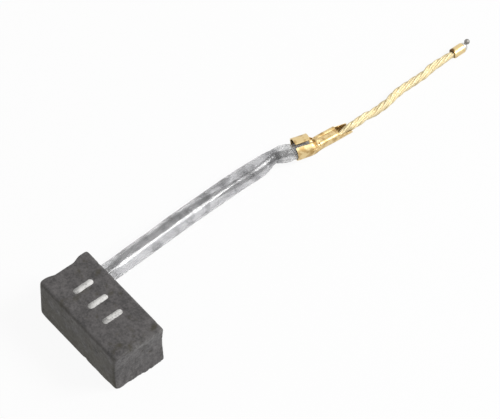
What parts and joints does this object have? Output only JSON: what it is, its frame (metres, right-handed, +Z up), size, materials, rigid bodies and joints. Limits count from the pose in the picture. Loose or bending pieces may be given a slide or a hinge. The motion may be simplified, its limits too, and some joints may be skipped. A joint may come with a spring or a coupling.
{
  "type": "carbon brush",
  "caption": "Carbon brush for a small commutator motor: a ground carbon block with a flexible copper lead in a clear sleeve, crimped to a bare wire end.",
  "frame": {"origin": "middle of the block's underside", "axes": "+X along the block from its spring end to its contact end, +Y out of the face that the lead leaves, +Z up"},
  "size_m": [0.0168, 0.0707, 0.007],
  "materials": {
    "carbon": "pressed carbon and graphite, dull, dark grey, with fine grain, small pits and a burnished contact end",
    "copper_powder": "packed copper powder, dull",
    "tinned_copper": "stranded copper wire, tinned and dulled to grey",
    "clear_sleeve": "translucent grey plastic tube, aged and a little cloudy",
    "crimp_brass": "stamped brass, rolled and tarnished in its folds",
    "bare_strand": "bare stranded wire, pale brass colour",
    "ferrule_brass": "small brass band, satin",
    "white_paint": "thin flat white paint",
    "solder": "dull soft solder"
  },
  "bodies": {
    "root": {"carbon_block": "carbon", "copper_tamping": "copper_powder", "shunt_wire": "tinned_copper", "insulating_sleeve": "clear_sleeve", "crimp_splice": "crimp_brass", "tail_wire": "bare_strand", "end_ferrule": "ferrule_brass", "solder_tip": "solder"}
  },
  "joints": []
}
